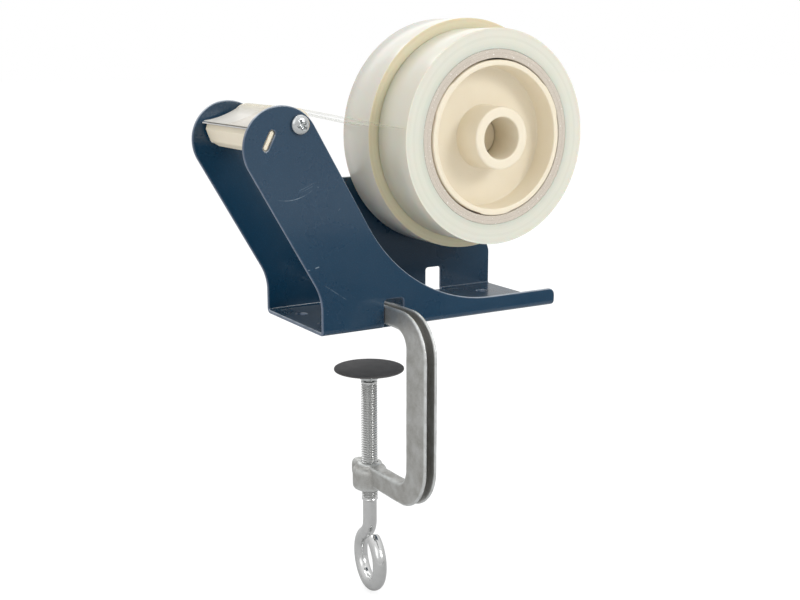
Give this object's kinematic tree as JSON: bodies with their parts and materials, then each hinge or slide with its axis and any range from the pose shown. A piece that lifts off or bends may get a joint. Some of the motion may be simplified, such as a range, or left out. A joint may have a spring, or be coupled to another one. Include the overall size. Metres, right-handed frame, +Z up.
{
  "type": "bench tape dispenser",
  "caption": "Clamp-on bench tape dispenser: bent steel channel with cutting head and guide roller, tape rolls on cream hubs on a cantilever spindle, and a removable screw clamp with an eye.",
  "frame": {"origin": "middle of the channel's floor, on its underside", "axes": "+X from the cutting head towards the tail, +Z up, +Y from the low cheek to the high cheek that carries the spindle"},
  "size_m": [0.1925, 0.1018, 0.2856],
  "materials": {
    "blue_paint": "glossy dark blue powder coat with light orange peel",
    "cream_plastic": "satin moulded cream plastic",
    "cardboard": "layered grey-brown cardboard tube",
    "clear_tape": "glossy clear film, wound layers look pale green-white",
    "white_tape": "glossy off-white film, wound edges look cream",
    "zinc_steel": "bright zinc-plated steel",
    "blade_steel": "bright saw-toothed spring steel",
    "cast_zinc": "mottled zinc-grey casting",
    "pad_black": "matt charcoal plastic",
    "bright_zinc": "bright plated steel"
  },
  "bodies": {
    "frame": {"frame_channel": "blue_paint", "spindle": "cream_plastic", "spindle_bolt": "zinc_steel", "spindle_washer": "zinc_steel", "guide_axle": "zinc_steel", "guide_screw_near": "zinc_steel", "guide_screw_far": "zinc_steel", "blade_holder": "cream_plastic", "cutter_blade": "blade_steel", "front_tape_strip": "clear_tape", "rear_tape_strip": "white_tape"},
    "front_roll": {"front_hub": "cream_plastic", "front_core": "cardboard", "front_tape_roll": "clear_tape"},
    "rear_roll": {"rear_hub": "cream_plastic", "rear_core": "cardboard", "rear_tape_roll": "white_tape"},
    "guide_roller": {"guide_roller": "cream_plastic"},
    "clamp": {"clamp_frame": "cast_zinc"},
    "pad": {"clamp_pad": "pad_black", "pad_socket": "zinc_steel"},
    "screw": {"clamp_screw": "bright_zinc"}
  },
  "joints": [
    {"name": "front_roll_spin", "type": "hinge", "parent": "frame", "child": "front_roll", "pos_m": [0.0315, 0, 0.0865], "axis": [0, 1, 0], "continuous": true},
    {"name": "rear_roll_spin", "type": "hinge", "parent": "frame", "child": "rear_roll", "pos_m": [0.0315, 0, 0.0865], "axis": [0, 1, 0], "continuous": true},
    {"name": "guide_roller_spin", "type": "hinge", "parent": "frame", "child": "guide_roller", "pos_m": [-0.0769, 0, 0.0966], "axis": [0, 1, 0], "continuous": true},
    {"name": "clamp_insert", "type": "slide", "parent": "frame", "child": "clamp", "axis": [0, 1, 0], "range_m": [-0.05, 0.005]},
    {"name": "screw_feed", "type": "slide", "parent": "clamp", "child": "pad", "axis": [0, 0, 1], "range_m": [-0.04, 0.018]},
    {"name": "screw_turn", "type": "hinge", "parent": "pad", "child": "screw", "pos_m": [-0.0305, -0.0082, -0.1254], "axis": [0, 0, 1], "range_deg": [-11530, 5190]}
  ],
  "couplings": [
    {"joint": "guide_roller_spin", "follows": "front_roll_spin", "ratio": 7.457},
    {"joint": "screw_turn", "follows": "screw_feed", "rad_per_m": 5026.5}
  ]
}
